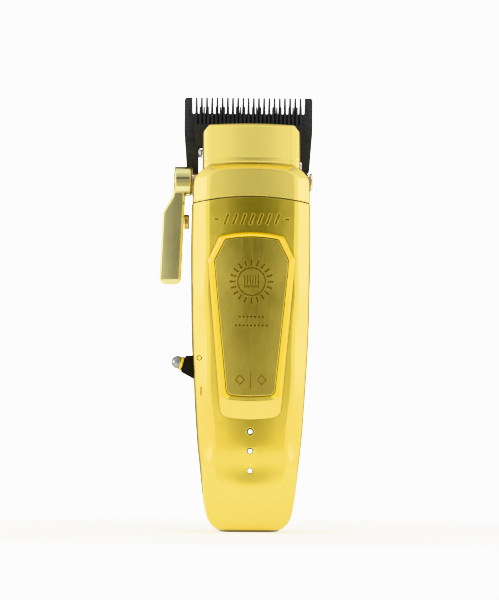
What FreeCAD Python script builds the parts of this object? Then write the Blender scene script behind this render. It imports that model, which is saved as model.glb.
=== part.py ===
"""Cordless hair clipper: gold metal body, adjustable blade set, taper lever and a side toggle switch.

Frame: the clipper stands on its base, blade up. +Z runs from the base to the blade tips, -Y is the front face
and +X is to the right of someone who looks at the front. The origin is the centre of the flat base.
All sizes are in millimetres. One STEP is written for each piece, named after the piece.
"""
import FreeCAD
import Part

import math
import os

V = FreeCAD.Vector
OUT = "parts"

# ---------------------------------------------------------------- driving dimensions
SEAM_Z = 123.8             # top of the main body at the centre line
SEAM_RADIUS = 91.0         # the seam is an arc in the front view
SEAM_GAP = 0.45
WALL = 1.6                 # metal shell
PARTING_Y = 2.0            # plane between the front and the back shell
PARTING_GAP = 0.2
LIP_THICK = 1.0            # lip of the back shell inside the front shell
LIP_TOP = 115.8
CROWN = 0.55               # how far the front face bulges at the centre line
BASE_THICK = 4.0

CAP_HALF_WIDTH = 17.9      # hood over the blade drive
COLLAR_LEAN = 3.0          # degrees
CAP_LOW_Z = 133.4
CAP_WALL = 1.3
CAP_FRONT_Y = -10.9
CAP_BACK_Y = 7.3
CAP_CROWN = 0.9            # how far the hood's front bulges at the centre line
HOOD_LIP = 0.5             # the hood's foot flares this far
HOOD_CORNER = 3.4          # radius of the hood's upright edges

BLADE_X = -0.8             # the blade set is clamped a little off centre
BLADE_HALF_WIDTH = 23.8
BLADE_PLANE_Y = 11.2       # the face that the cutter slides on
BLADE_BACK_Y = 13.6
BLADE_TRAVEL = 2.4         # how far the taper lever moves the fixed blade
CUTTER_STROKE = 1.2        # each way

LEVER_Y = 2.0              # axis of the taper lever, along X
LEVER_Z = 129.4
LEVER_HALF_SWING = 32.5    # degrees each side of the eccentric's middle position
ECCENTRIC = BLADE_TRAVEL / (2 * math.sin(math.radians(LEVER_HALF_SWING)))
HUB_RADIUS = 5.45
LEVER_SHAFT_RADIUS = 2.0
DISC_RADIUS = 4.4          # eccentric discs on the lever's shaft
EAR_X = 9.0                # inner side of the bracket's ears
BRACKET_WING = 16.8
BRACKET_FRONT, BRACKET_BACK = 8.9, 11.1
COLLAR_SCREWS = [(-13.6, 124.9), (13.6, 124.9)]
BLADE_SCREWS = [(BLADE_X - 10.5, 136.0), (BLADE_X + 10.5, 136.0)]

TOGGLE_X, TOGGLE_Y, TOGGLE_Z = -12.0, -4.0, 58.0
TOGGLE_TILT = 17.0         # degrees above the horizontal when off
BALL_AT, BALL_RADIUS = 15.3, 2.4

MOTOR_Y = -1.0
MOTOR_LOW, MOTOR_HIGH = 87.5, 113.5
MOTOR_RADIUS = 10.5
MOTOR_SCREW_X = 6.5
MOTOR_SHAFT_RADIUS = 1.0
DECK_TOP = 115.0           # chassis plate that the motor hangs from
CAM_LOW = 115.8
PIN_TOP = 123.0
BATTERY_X, BATTERY_Y = 1.5, 1.4
BATTERY_LOW, BATTERY_HIGH = 20.4, 84.5
BATTERY_RADIUS = 9.2
BOARD_FRONT_Y = -12.4
BOARD_THICK = 1.2

RUNNING = 0.05             # radial clearance of a running fit
GAP = 0.1                  # side clearance between fixed pieces
SHAPES = {}


# ---------------------------------------------------------------- helpers
def keep(name, shape):
    """Files a finished piece under its node name."""
    SHAPES[name] = shape


def box(x0, x1, y0, y1, z0, z1):
    return Part.makeBox(x1 - x0, y1 - y0, z1 - z0, V(x0, y0, z0))


def rod(radius, start, direction, length):
    return Part.makeCylinder(radius, length, V(*start), V(*direction))


def tube(outer, inner, start, direction, length):
    return rod(outer, start, direction, length).cut(rod(inner, start, direction, length))


def cone(r0, r1, start, direction, length):
    return Part.makeCone(r0, r1, length, V(*start), V(*direction))


def mirrored(shape):
    return shape.mirror(V(0, 0, 0), V(1, 0, 0))


def group(shapes):
    return Part.makeCompound(shapes)


def fused(first, *others):
    return first.fuse(list(others)).removeSplitter()


def turned(shape, centre, axis, degrees):
    done = shape.copy()
    done.rotate(V(*centre), V(*axis), degrees)
    return done


def rounded_wire(corners, to_point, bulges=None):
    """Closed wire through corners (u, v, radius), each rounded by its radius.

    to_point turns (u, v) into a vector. bulges maps the index of a side, which starts at that corner,
    to the distance that the side's middle stands out to the right of its direction.
    """
    bulges = bulges or {}
    count = len(corners)
    entry, leave, middle = [], [], []
    for i, (u, v, r) in enumerate(corners):
        p = V(u, v, 0)
        before = V(corners[i - 1][0], corners[i - 1][1], 0).sub(p)
        after = V(corners[(i + 1) % count][0], corners[(i + 1) % count][1], 0).sub(p)
        before.normalize()
        after.normalize()
        half = before.getAngle(after) / 2
        reach = r / math.tan(half)
        entry.append(p.add(before * reach))
        leave.append(p.add(after * reach))
        bisector = before.add(after)
        bisector.normalize()
        middle.append(p.add(bisector * (r / math.sin(half) - r)))
    edges = []
    for i in range(count):
        if corners[i][2] > 0:
            a, m, b = (to_point(q.x, q.y) for q in (entry[i], middle[i], leave[i]))
            edges.append(Part.Arc(a, m, b).toShape())
        start, end = leave[i], entry[(i + 1) % count]
        a, b = to_point(start.x, start.y), to_point(end.x, end.y)
        if i in bulges:
            along = end.sub(start)
            side = V(along.y, -along.x, 0)
            side.normalize()
            mid = (start + end) * 0.5 + side * bulges[i]
            edges.append(Part.Arc(a, to_point(mid.x, mid.y), b).toShape())
        else:
            edges.append(Part.LineSegment(a, b).toShape())
    return Part.Wire(edges)


def prism(wire, direction):
    return Part.Face(wire).extrude(V(*direction))


def front_view(y):
    """Maps (x, z) of the front view to the plane at that y."""
    return lambda u, v: V(u, y, v)


def side_view(x):
    """Maps (y, z) of the side view to the plane at that x."""
    return lambda u, v: V(x, u, v)


def top_view(z):
    return lambda u, v: V(u, v, z)


def rounded_box(x0, x1, y0, y1, z0, z1, radius):
    """Upright block whose vertical edges are rounded."""
    corners = [(x0, y0, radius), (x1, y0, radius), (x1, y1, radius), (x0, y1, radius)]
    return prism(rounded_wire(corners, top_view(z0)), (0, 0, z1 - z0))


def filleted(shape, radius, chosen):
    """Rounds the chosen edges, and says so if the kernel can't."""
    edges = [e for e in shape.Edges if chosen(e)]
    try:
        done = shape.makeFillet(radius, edges)
        if done.isValid() and done.Volume > 0:
            return done
    except Exception as problem:
        print("fillet failed:", problem)
    print("fillet left out, edges:", len(edges))
    return shape


def coil(wire_radius, coil_radius, pitch, turns, start, direction):
    """Helical spring wire, with its axis from start along direction."""
    helix = Part.makeHelix(pitch, pitch * turns, coil_radius)
    profile = Part.Wire(Part.makeCircle(wire_radius, V(coil_radius, 0, 0), V(0, 1, 0)))
    shape = Part.Wire(helix).makePipeShell([profile], True, True)
    turn = FreeCAD.Rotation(V(0, 0, 1), V(*direction))
    shape.Placement = FreeCAD.Placement(V(*start), turn)
    return shape


# ---------------------------------------------------------------- body form
# z, half width, front depth, back depth, chamfer width in x, chamfer depth in y
BODY_STATIONS = [
    (0.0, 8.6, 6.8, 6.6, 1.6, 1.4),
    (0.5, 10.9, 8.7, 8.6, 2.2, 1.9),
    (2.0, 13.2, 10.5, 10.6, 3.0, 2.6),
    (5.0, 15.3, 12.4, 12.4, 4.4, 3.3),
    (9.5, 16.4, 14.0, 13.6, 5.3, 3.9),
    (13.5, 17.0, 14.8, 14.2, 6.0, 4.2),
    (19.0, 17.6, 15.2, 14.65, 5.0, 4.4),
    (30.0, 18.8, 15.95, 15.2, 5.1, 4.6),
    (45.0, 19.95, 16.65, 15.7, 5.1, 4.8),
    (62.0, 20.95, 16.95, 16.4, 5.1, 4.9),
    (80.0, 21.6, 17.2, 17.2, 5.1, 5.0),
    (98.0, 21.85, 17.45, 17.6, 5.1, 5.0),
    (112.0, 21.85, 17.5, 17.2, 5.1, 5.0),
    (124.0, 21.7, 17.45, 16.0, 5.1, 5.0),
    (137.0, 21.3, 17.3, 13.6, 5.1, 5.0),
]
FACE_BASE, FACE_SLOPE = 16.05, 0.0145    # the front face near the panel is the plane y = -(base + slope * z)
FULL_HALF_WIDTH = 21.8
FACE_ROUND, SIDE_ROUND = 2.8, 4.2        # rounding of the chamfer towards the face and towards the side


def body_section(station, grow):
    z, half, front, back, cham_x, cham_y = station
    w, f, b = half + grow, front + grow, back + grow
    size = half / FULL_HALF_WIDTH
    back_radius = min(10.0 * size, b - 0.5)
    corners = [
        (cham_x - w, -f, FACE_ROUND * size),
        (w - cham_x, -f, FACE_ROUND * size),
        (w, -f + cham_y, SIDE_ROUND * size),
        (w, b, back_radius),
        (-w, b, back_radius),
        (-w, -f + cham_y, SIDE_ROUND * size),
    ]
    return rounded_wire(corners, top_view(z), {0: CROWN * size})


def body_form(grow=0.0, low=0.0):
    """Solid of the body's outer form, offset sideways by grow, from the station at low upwards."""
    wires = [body_section(s, grow) for s in BODY_STATIONS if s[0] >= low]
    return Part.makeLoft(wires, True, False)


OUTER = body_form()
INNER = body_form(-WALL, 2.0).cut(box(-30, 30, -30, 30, -1, BASE_THICK))
MARK_DEPTH = 0.45
SKIN = OUTER.cut(body_form(-MARK_DEPTH))       # outermost layer, where marks are engraved


def seam_drum(radius):
    """Drum whose round wall is the seam between the body and the shoulder."""
    return rod(radius, (0, -40, SEAM_Z - SEAM_RADIUS), (0, 1, 0), 80)


# ---------------------------------------------------------------- base: plug, jack and contacts
JACK_X = 3.9
JACK_BORE = 2.8
PIN_RADIUS = 1.05
PIN_LOW, PIN_HIGH = 1.5, 11.0
CONTACT_XS = (-2.6, -5.9)
CONTACT_RADIUS = 1.25
PLUG_HALF_X, PLUG_HALF_Y = 7.5, 4.3


def plug_block(grow, low, high):
    x, y = PLUG_HALF_X + grow, PLUG_HALF_Y + grow
    return rounded_box(-x, x, -y, y, low, high, 1.8)


def make_base():
    flange = plug_block(1.6, BASE_THICK, BASE_THICK + 1.6)
    plug = fused(plug_block(-GAP, 0, BASE_THICK), flange)
    plug = plug.cut(rod(JACK_BORE, (JACK_X, 0, -1), (0, 0, 1), 9))
    for x in CONTACT_XS:
        plug = plug.cut(rod(CONTACT_RADIUS, (x, 0, -1), (0, 0, 1), 9))
    keep("base_plug", plug)
    contact = fused(
        rod(CONTACT_RADIUS - 0.02, (0, 0, 0.25), (0, 0, 1), 6.5),
        rod(CONTACT_RADIUS + 0.6, (0, 0, BASE_THICK + 1.65), (0, 0, 1), 1.0),
    )
    contact = filleted(contact, 0.3, lambda e: abs(e.BoundBox.ZMax - 0.25) < 0.01)
    keep("charge_contacts", group([contact.translated(V(x, 0, 0)) for x in CONTACT_XS]))
    low = BASE_THICK + 1.7
    jack = rounded_box(JACK_X - 4.2, JACK_X + 4.2, -4.2, 4.2, low, 14.5, 0.6)
    jack = jack.cut(rod(JACK_BORE, (JACK_X, 0, 0), (0, 0, 1), PIN_HIGH))
    jack = jack.cut(rod(0.55, (JACK_X, 0, 0), (0, 0, 1), 20))
    keep("charge_jack", jack)
    pin = rod(PIN_RADIUS, (JACK_X, 0, PIN_LOW), (0, 0, 1), PIN_HIGH - PIN_LOW)
    pin = filleted(pin, 0.35, lambda e: abs(e.BoundBox.ZMax - PIN_LOW) < 0.01)
    keep("jack_pin", fused(pin, rod(0.5, (JACK_X, 0, PIN_HIGH), (0, 0, 1), 5.2)))


# ---------------------------------------------------------------- raised panel on the front
PANEL_OUTER = [(-11.0, 42.4, 3.6), (11.0, 42.4, 3.6), (16.06, 100.3, 2.6),
               (11.7, 109.5, 1.8), (-11.7, 109.5, 1.8), (-16.06, 100.3, 2.6)]
PANEL_INNER = [(-9.05, 50.4, 2.4), (9.05, 50.4, 2.4), (14.0, 100.2, 2.2),
               (9.95, 108.3, 1.3), (-9.95, 108.3, 1.3), (-14.0, 100.2, 2.2)]
PANEL_RIDGE = [(-10.2, 49.0, 2.9), (10.2, 49.0, 2.9), (15.0, 100.3, 2.4),
               (10.8, 108.9, 1.5), (-10.8, 108.9, 1.5), (-15.0, 100.3, 2.4)]
PANEL_OUTER_BULGE = {0: 0.7, 3: 1.3}
PANEL_RIDGE_BULGE = {0: 0.45, 3: 1.05}
PANEL_INNER_BULGE = {0: 0.35, 3: 0.8}
PANEL_RIDGE_RISE, PANEL_RISE = 1.3, 0.75       # the rim stands highest along its middle
POCKET_DEPTH = 0.8
INLAY_GROW = 0.9
INLAY_LOW = 0.1            # underside of the inlay, above the panel's plane


def face_plane(lift):
    """Maps (x, z) to the plane of the front face, lifted towards the front."""
    return lambda u, v: V(u, -(FACE_BASE + FACE_SLOPE * v + 0.3 + lift), v)


def inset(corners, by):
    """The panel outline moved inwards, near enough for small steps."""
    centre_z = sum(c[1] for c in corners) / len(corners)
    return [(u - math.copysign(by, u), v - math.copysign(by, v - centre_z), r) for u, v, r in corners]


def panel_prism(corners, bulge, low, high):
    return prism(rounded_wire(corners, face_plane(low), bulge), (0, low - high, 0))


def make_panel():
    foot = panel_prism(inset(PANEL_OUTER, 0.03), PANEL_OUTER_BULGE, -2.0, 0)
    bevel = Part.makeLoft([
        rounded_wire(inset(PANEL_OUTER, 0.03), face_plane(0), PANEL_OUTER_BULGE),
        rounded_wire(PANEL_RIDGE, face_plane(PANEL_RIDGE_RISE), PANEL_RIDGE_BULGE),
        rounded_wire(PANEL_INNER, face_plane(PANEL_RISE), PANEL_INNER_BULGE),
    ], True, True)
    frame = fused(foot, bevel).cut(body_form(-POCKET_DEPTH + 0.02))
    frame = frame.cut(panel_prism(inset(PANEL_INNER, 0.1), PANEL_INNER_BULGE, INLAY_LOW - 0.05, 4))
    keep("panel_frame", frame)
    inlay = panel_prism(inset(PANEL_INNER, 0.28), PANEL_INNER_BULGE, INLAY_LOW, 4)
    inlay = inlay.common(body_form(INLAY_GROW))
    front_edges = lambda e: e.BoundBox.YMin < -(FACE_BASE + FACE_SLOPE * e.CenterOfMass.z + 0.8)
    inlay = filleted(inlay, 0.25, front_edges)
    keep("panel_inlay", inlay.cut(emblem()))


EMBLEM_Z = 92.5            # centre of the round emblem
DIAMOND_Z = 56.4


def front_stroke(x, z, width, height, lean=0):
    """Straight bar for an engraved mark, centred on (x, z) and leaning by lean degrees."""
    bar = box(x - width / 2, x + width / 2, -25, -10, z - height / 2, z + height / 2)
    return turned(bar, (x, 0, z), (0, 1, 0), lean) if lean else bar


def emblem():
    """Engraving on the inlay: strokes round a comb, two rows of dashes, and two diamonds beside a line."""
    layer = body_form(INLAY_GROW).cut(body_form(INLAY_GROW - MARK_DEPTH))
    spoke = front_stroke(0, EMBLEM_Z + 7.0, 0.7, 2.2)
    cuts = [turned(spoke, (0, 0, EMBLEM_Z), (0, 1, 0), 360.0 / 20 * i) for i in range(20)]
    cuts.append(tube(5.3, 4.8, (0, -25, EMBLEM_Z), (0, 1, 0), 10))
    cuts.append(front_stroke(0, EMBLEM_Z - 1.7, 5.6, 1.0))
    cuts += [front_stroke(-2.5 + i, EMBLEM_Z + 0.6, 0.45, 3.8) for i in range(6)]
    cuts += [front_stroke(-4.2 + 1.4 * i, 79.6, 0.8, 0.7) for i in range(7)]
    cuts += [front_stroke(-5.6 + 1.4 * i, 76.4, 0.8, 0.7) for i in range(9)]
    cuts.append(front_stroke(0, DIAMOND_Z, 0.3, 6.2))
    for x in (-4.0, 4.0):
        cuts.append(front_stroke(x, DIAMOND_Z, 2.7, 2.7, 45).cut(front_stroke(x, DIAMOND_Z, 2.1, 2.1, 45)))
    return layer.common(cuts)


# ---------------------------------------------------------------- shells
LED_ZS = (37.3, 30.1, 22.9)
LED_HOLE = 1.0
LED_RADIUS = 0.78
SHELL_SCREWS = [(-9.5, 17.0), (9.5, 17.0), (-13.7, 108.0), (13.7, 108.0)]
SCREW_RADIUS = 1.25


def face_y(z):
    """Where the front surface stands at the centre line, at height z between the stations."""
    for low, high in zip(BODY_STATIONS, BODY_STATIONS[1:]):
        if low[0] <= z <= high[0]:
            share = (z - low[0]) / (high[0] - low[0])
            crown = CROWN * (low[1] + share * (high[1] - low[1])) / FULL_HALF_WIDTH
            return -(low[2] + share * (high[2] - low[2]) + crown)
    return -BODY_STATIONS[-1][2]


def power_marks():
    """The circle for off and the bar for on, cut into the left chamfer beside the toggle."""
    ring = tube(1.0, 0.62, (-18.9, -25, 64.2), (0, 1, 0), 25)
    bar = box(-18.35, -17.95, -25, 0, 50.3, 53.7)
    return SKIN.common([ring, bar])


def title_marks():
    """A plain band of slanted strokes between two dashes, above the panel."""
    cuts = [front_stroke(-9.3 + 3.1 * i, 115.4, 0.9, 4.2, 20) for i in range(7)]
    cuts += [front_stroke(x, 115.4, 1.7, 0.6) for x in (-12.9, 12.9)]
    return SKIN.common(cuts)


def toggle_slot():
    return box(-30, -17, TOGGLE_Y - 2.9, TOGGLE_Y + 2.9, TOGGLE_Z - 8.7, TOGGLE_Z + 8.7)


def switch_room():
    """Space that the lips of the shell and the chassis leave for the switch housing."""
    y, z = TOGGLE_Y, TOGGLE_Z
    return box(-30, -8.1, y - 4.5, y + 4.5, z - 10.8, z + 10.8)


def make_shells():
    shell = OUTER.common(seam_drum(SEAM_RADIUS - SEAM_GAP / 2)).cut(INNER)
    shell = shell.cut(plug_block(0, -1, BASE_THICK + 2))
    far = 60
    half = PARTING_GAP / 2
    front = shell.common(box(-far, far, -far, PARTING_Y - half, -1, 200))
    back = shell.common(box(-far, far, PARTING_Y + half, far, -1, 200))

    pocket = panel_prism(PANEL_OUTER, PANEL_OUTER_BULGE, -3.0, 4).cut(body_form(-POCKET_DEPTH))
    front = front.cut([pocket, toggle_slot(), power_marks(), title_marks()])
    for z in LED_ZS:
        sink = cone(LED_HOLE + 2.0, LED_HOLE, (0, face_y(z) - 1.7, z), (0, 1, 0), 2.0)
        front = front.cut([rod(LED_HOLE, (0, -25, z), (0, 1, 0), 15), sink])
    bosses = []
    for x, z in SHELL_SCREWS:
        post = rod(2.6, (x, -17.0, z), (0, 1, 0), 17.0 + PARTING_Y - half)
        post = post.common(body_form(-WALL / 2))
        bosses.append(post.cut(rod(SCREW_RADIUS - 0.2, (x, -11, z), (0, 1, 0), 20)))
    keep("front_shell", fused(front, *bosses))

    lip_inside = body_form(-WALL - LIP_THICK, 5.0)
    root = body_form(-WALL + 0.3, 5.0).cut(lip_inside)
    root = root.common(box(-far, far, PARTING_Y + half, 3.4, 7, LIP_TOP))
    tongue = body_form(-WALL - GAP, 5.0).cut(lip_inside)
    tongue = tongue.common(box(-far, far, -0.4, PARTING_Y + 0.5, 7, LIP_TOP))
    back = back.fuse([root, tongue]).cut(switch_room())
    for x, z in SHELL_SCREWS:
        seat = rod(2.8, (x, PARTING_Y + half, z), (0, 1, 0), 14).common(body_form(-WALL / 2))
        back = back.fuse(seat)
        back = back.cut(rod(SCREW_RADIUS + 0.2, (x, 0, z), (0, 1, 0), 30))
        back = back.cut(rod(2.4, (x, back_depth(z) - 2.4, z), (0, 1, 0), 10))
    grooves = [grip_groove(62.0 + 4.2 * i) for i in range(9)]
    back = back.cut([*grooves, label_recess(0.35)])
    keep("back_shell", back)


def back_depth(z):
    """Depth of the back face at height z, between the stations."""
    for low, high in zip(BODY_STATIONS, BODY_STATIONS[1:]):
        if low[0] <= z <= high[0]:
            share = (z - low[0]) / (high[0] - low[0])
            return low[3] + share * (high[3] - low[3])
    return BODY_STATIONS[-1][3]


def grip_groove(z):
    """Shallow groove across the back, for the fingers."""
    bar = rod(0.8, (-12.5, back_depth(z) + 0.35, z), (1, 0, 0), 25)
    ends = [Part.makeSphere(0.8, V(x, back_depth(z) + 0.35, z)) for x in (-12.5, 12.5)]
    return bar.fuse(ends)


def label_recess(depth):
    """Rounded recess low on the back."""
    corners = [(-8.5, 29, 2), (8.5, 29, 2), (8.5, 52, 2), (-8.5, 52, 2)]
    block = prism(rounded_wire(corners, front_view(5)), (0, 25, 0))
    return block.cut(body_form(-depth))


def make_shell_details():
    plate = [(-8.35, 29.15, 1.9), (8.35, 29.15, 1.9), (8.35, 51.85, 1.9), (-8.35, 51.85, 1.9)]
    label = prism(rounded_wire(plate, front_view(5)), (0, 25, 0))
    keep("rating_plate", label.common(body_form(-0.1)).cut(body_form(-0.34)))
    screws = []
    for x, z in SHELL_SCREWS:
        screws.append(socket_screw(x, back_depth(z) - 0.7, z, 2.2, 1.6, SCREW_RADIUS - 0.22, 14))
    keep("shell_screws", group(screws))
    lenses, grommets = [], []
    for z in LED_ZS:
        lens = rod(LED_RADIUS, (0, -19, z), (0, 1, 0), 5.6)
        lens = fused(lens.common(body_form(0.1)), rod(1.5, (0, -13.9, z), (0, 1, 0), 0.7))
        lenses.append(lens)
        ring = tube(LED_HOLE - 0.01, LED_RADIUS + 0.01, (0, -19, z), (0, 1, 0), 5)
        grommets.append(ring.common(body_form(-0.12)).cut(body_form(-WALL)))
    keep("battery_lights", group(lenses))
    keep("light_grommets", group(grommets))


def socket_screw(x, head_y, z, head_radius, head_height, shank_radius, length):
    """Screw whose head faces the back, with a six-lobed socket. Its shank points to the front."""
    head = rod(head_radius, (x, head_y - head_height, z), (0, 1, 0), head_height)
    head = filleted(head, 0.3, lambda e: abs(e.BoundBox.YMin - head_y) < 0.01 and e.BoundBox.YLength < 0.01)
    lobes = [rod(0.42, (x, head_y - 1.0, z), (0, 1, 0), 2)]
    for i in range(6):
        a = math.radians(60 * i)
        spot = (x + 0.78 * math.cos(a), head_y - 1.0, z + 0.78 * math.sin(a))
        lobes.append(rod(0.34, spot, (0, 1, 0), 2))
    lobes.append(rod(0.8, (x, head_y - 1.0, z), (0, 1, 0), 2))
    shank = rod(shank_radius, (x, head_y - head_height - length, z), (0, 1, 0), length + 0.01)
    return head.cut(lobes).fuse(shank).removeSplitter()


# ---------------------------------------------------------------- seam seal, shoulder collar and hood
def make_seam_seal():
    """Thin rubber strip in the gap between the shells and the shoulder, a little below the surface."""
    strip = seam_drum(SEAM_RADIUS + 0.17).cut(seam_drum(SEAM_RADIUS - 0.17))
    band = body_form(-0.3, 62.0).cut(body_form(-WALL - GAP, 62.0)).common(box(-40, 40, -40, 40, 100, 135))
    keep("seam_seal", band.common(strip).cut(shoulder_screw_holes(2.3)))


def shoulder_screw_holes(radius):
    return [rod(radius, (x, 5, z), (0, 1, 0), 30) for x, z in COLLAR_SCREWS]


def shoulder_outline(half, top, radius, bulge, y):
    corners = [(-half, 105, 0), (half, 105, 0), (half, top, radius), (-half, top, radius)]
    return rounded_wire(corners, front_view(y), {2: bulge})


def shoulder_top(inset):
    """Solid of the shoulder's top and bevel, offset inwards by inset."""
    y_ridge, y_face = -12.4 + 0.41 * inset, -18.4 + inset
    ridge = shoulder_outline(21.5 - inset, 135.3 - inset, 8.3 - inset, 0.8, y_ridge)
    face = shoulder_outline(16.2 - 0.41 * inset, 132.95 - 0.7 * inset, 5.5 - 0.4 * inset, 0.7, y_face)
    bevel = Part.makeLoft([ridge, face], True, True)
    return prism(ridge, (0, 50, 0)).fuse(bevel)


def leaned_form(grow):
    """The body form tipped back about the front of the seam, which gives the shoulder its sloping face."""
    return turned(body_form(grow, 62.0), (0, -17.8, 122.0), (1, 0, 0), -COLLAR_LEAN)


def make_shoulder():
    outer = shoulder_top(0).common(body_form(0)).common(leaned_form(0))
    collar = outer.cut(shoulder_top(WALL).common(body_form(-WALL)).common(leaned_form(-WALL)))
    collar = collar.cut(seam_drum(SEAM_RADIUS + SEAM_GAP / 2))
    collar = collar.cut(hood_recess())
    collar = collar.cut(box(-40, 40, 8.2, 40, 128.8, 145))
    collar = collar.cut(rod(3.0, (-40, LEVER_Y, LEVER_Z), (1, 0, 0), 80))
    collar = collar.cut(shoulder_screw_holes(1.5))
    for x, z in COLLAR_SCREWS:
        collar = collar.cut(rod(2.3, (x, back_depth(z) - 1.15, z), (0, 1, 0), 20))
    keep("shoulder_collar", collar)
    screws = [socket_screw(x, back_depth(z) - 0.32, z, 2.1, 0.8, 1.2, 3.2) for x, z in COLLAR_SCREWS]
    keep("collar_screws", group(screws))


def hood_form(inset, low, back):
    """Solid of the hood's form, offset inwards by inset: a sloping front with rounded upright edges."""
    w = CAP_HALF_WIDTH - inset
    y = CAP_FRONT_Y + inset
    levels = [(low, y - HOOD_LIP), (136.5, y - HOOD_LIP), (137.0, y), (138.1, y + 0.1), (138.9, y + 0.5),
              (150.0, y + 5.65), (152.0, y + 9.0)]
    plans = []
    for z, front_y in levels:
        corners = [(-w, front_y, HOOD_CORNER), (w, front_y, HOOD_CORNER), (w, back, 0), (-w, back, 0)]
        plans.append(rounded_wire(corners, top_view(z), {0: CAP_CROWN}))
    top_x, side_z, top_z = 15.6 - 0.7 * inset, 147.5 - 0.4 * inset, 150.4 - inset
    front = [(-w, low, 0), (w, low, 0), (w, side_z, 1.5), (top_x, top_z, 1.2), (-top_x, top_z, 1.2),
             (-w, side_z, 1.5)]
    across = prism(rounded_wire(front, front_view(-30), {3: 0.5}), (0, 90, 0))
    return across.common(Part.makeLoft(plans, True, True))


def hood_recess():
    """Opening in the shoulder that the hood stands in."""
    y = CAP_FRONT_Y - HOOD_LIP - 0.12
    w = CAP_HALF_WIDTH + 0.12
    corners = [(-w, y, HOOD_CORNER + 0.1), (w, y, HOOD_CORNER + 0.1), (w, 40, 0), (-w, 40, 0)]
    return prism(rounded_wire(corners, top_view(128.8), {0: CAP_CROWN}), (0, 0, 20))


def make_hood():
    keep("head_cap", hood_form(0, CAP_LOW_Z, CAP_BACK_Y).cut(hood_form(CAP_WALL, 100, 30)))


# ---------------------------------------------------------------- head frame with the lever bushes
BUSH_OUTER = 2.95
WASHER_OUT = 21.98         # outer side of the thrust washers


def make_head_frame():
    ring = body_form(-WALL - 0.15, 98.0).cut(body_form(-WALL - 1.15, 98.0))
    ring = ring.common(box(-30, 30, -30, 30, 116.5, 127))
    deck = body_form(-WALL - 0.6, 98.0).common(box(-30, 30, -30, 30, 116.5, 118.2))
    deck = deck.cut(rod(6.0, (0, MOTOR_Y, 110), (0, 0, 1), 20))
    frame = ring.fuse(deck)
    for side in (-1, 1):
        x0, x1 = sorted((side * 15.7, side * 19.3))
        cheek = box(x0, x1, -4.5, 12.2, 117, 129.0)
        cheek = cheek.fuse(rod(3.7, (x0, LEVER_Y, LEVER_Z), (1, 0, 0), x1 - x0))
        post_0, post_1 = sorted((side * 11.5, side * 15.8))
        post = box(post_0, post_1, 12.3, 13.95, 117, 127.0)
        frame = frame.fuse([part.common(body_form(-WALL - 0.25, 98.0)) for part in (cheek, post)])
    frame = frame.common(shoulder_top(WALL + 0.15)).cut(box(-30, 30, -30, -9, 123.9, 140))
    groove = box(-BRACKET_WING - 0.1, BRACKET_WING + 0.1, 8.82, 11.18, 118.3, 140)
    cuts = [groove, rod(BUSH_OUTER + 0.02, (-40, LEVER_Y, LEVER_Z), (1, 0, 0), 80)]
    for x, z in COLLAR_SCREWS:
        cuts.append(rod(1.22, (x, 5, z), (0, 1, 0), 30))
    keep("head_frame", frame.cut(cuts))
    bore = LEVER_SHAFT_RADIUS + RUNNING
    bush = tube(BUSH_OUTER, bore, (15.75, LEVER_Y, LEVER_Z), (1, 0, 0), 5.6)
    washer = tube(3.7, bore, (WASHER_OUT - 0.3, LEVER_Y, LEVER_Z), (1, 0, 0), 0.3)
    lever_washer = tube(HUB_RADIUS - 0.2, bore, (-WASHER_OUT, LEVER_Y, LEVER_Z), (1, 0, 0), 0.3)
    keep("lever_bushes", group([bush, mirrored(bush), washer, lever_washer]))


# ---------------------------------------------------------------- taper lever
ARM = [(-25.7, 91.2, 2.2), (-24.4, 121.0, 1.0), (-24.3, 127.5, 0), (-28.3, 127.5, 0), (-29.3, 123.6, 2.0),
       (-32.5, 117.8, 3.0), (-33.6, 91.2, 2.6)]
ARM_FRONT_Y = -1.4
STUD_Z = 114.4
STUD_STEM = 1.8
LEVER_CROWN = 110.0        # radius of the lever's front
SCREW_HEAD = 2.8           # radius of the lever screw's head


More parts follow.
